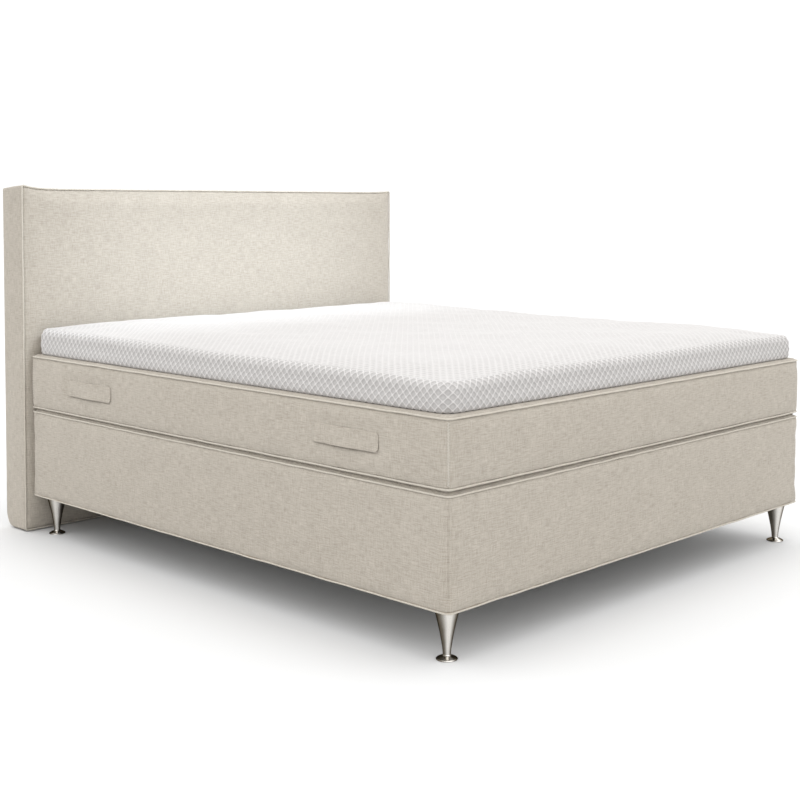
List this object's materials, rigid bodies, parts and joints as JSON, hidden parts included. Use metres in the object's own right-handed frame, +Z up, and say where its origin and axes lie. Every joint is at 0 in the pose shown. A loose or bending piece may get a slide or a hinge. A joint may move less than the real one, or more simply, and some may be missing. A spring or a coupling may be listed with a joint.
{
  "type": "box spring bed",
  "caption": "Upholstered double box spring bed: deep fabric base on tapered metal legs, mattress with strap handles, quilted topper and a padded headboard that stands on the floor.",
  "frame": {"origin": "on the floor, under the middle of the whole bed's outline", "axes": "+Z up, +Y along the bed towards the headboard, +X to the right of someone who faces the headboard"},
  "size_m": [1.846, 2.1554, 1.237],
  "materials": {
    "cover_fabric": "matte",
    "piping_fabric": "matte",
    "quilt_fabric": "matte",
    "foam": "matte",
    "timber": "matte",
    "felt": "matte",
    "pocket_springs": "matte",
    "leg_nickel": "satin",
    "steel": "satin"
  },
  "bodies": {
    "root": {"headboard_front_panel": "cover_fabric", "headboard_boxing": "cover_fabric", "base_border": "cover_fabric", "base_top_panel": "cover_fabric", "headboard_piping": "piping_fabric", "base_piping_top": "piping_fabric", "base_piping_bottom": "piping_fabric", "headboard_foam": "foam", "base_top_foam": "foam", "headboard_board": "timber", "headboard_stile_left": "timber", "headboard_stile_right": "timber", "headboard_top_rail": "timber", "headboard_mount_rail": "timber", "headboard_bottom_rail": "timber", "base_side_rail_left": "timber", "base_side_rail_right": "timber", "base_end_rail_foot": "timber", "base_end_rail_head": "timber", "base_centre_rail": "timber", "base_block_foot_left": "timber", "base_block_foot_right": "timber", "base_block_head_left": "timber", "base_block_head_right": "timber", "base_slat_1": "timber", "base_slat_2": "timber", "base_slat_3": "timber", "base_slat_4": "timber", "headboard_back_lining": "felt", "base_dust_cover": "felt", "base_felt_pad": "felt", "headboard_glide_left": "felt", "headboard_glide_right": "felt", "headboard_spacer_left": "felt", "headboard_spacer_right": "felt", "base_spring_unit": "pocket_springs", "leg_foot_left": "leg_nickel", "leg_foot_right": "leg_nickel", "leg_head_left": "leg_nickel", "leg_head_right": "leg_nickel", "leg_centre": "steel", "headboard_bolt_left": "steel", "headboard_bolt_right": "steel"},
    "mattress": {"mattress_border": "cover_fabric", "mattress_top_panel": "cover_fabric", "mattress_bottom_panel": "cover_fabric", "mattress_handle_left_foot": "cover_fabric", "mattress_handle_left_head": "cover_fabric", "mattress_handle_right_foot": "cover_fabric", "mattress_handle_right_head": "cover_fabric", "mattress_piping_top": "piping_fabric", "mattress_piping_bottom": "piping_fabric", "mattress_top_foam": "foam", "mattress_bottom_foam": "foam", "mattress_edge_foam": "foam", "mattress_spring_core": "pocket_springs"},
    "topper": {"topper_cover": "quilt_fabric", "topper_base_panel": "quilt_fabric", "topper_core": "foam"}
  },
  "joints": [
    {"name": "mattress_lift", "type": "slide", "parent": "root", "child": "mattress", "axis": [0, 0, 1], "range_m": [0, 0.35]},
    {"name": "topper_lift", "type": "slide", "parent": "mattress", "child": "topper", "axis": [0, 0, 1], "range_m": [0, 0.3]}
  ]
}
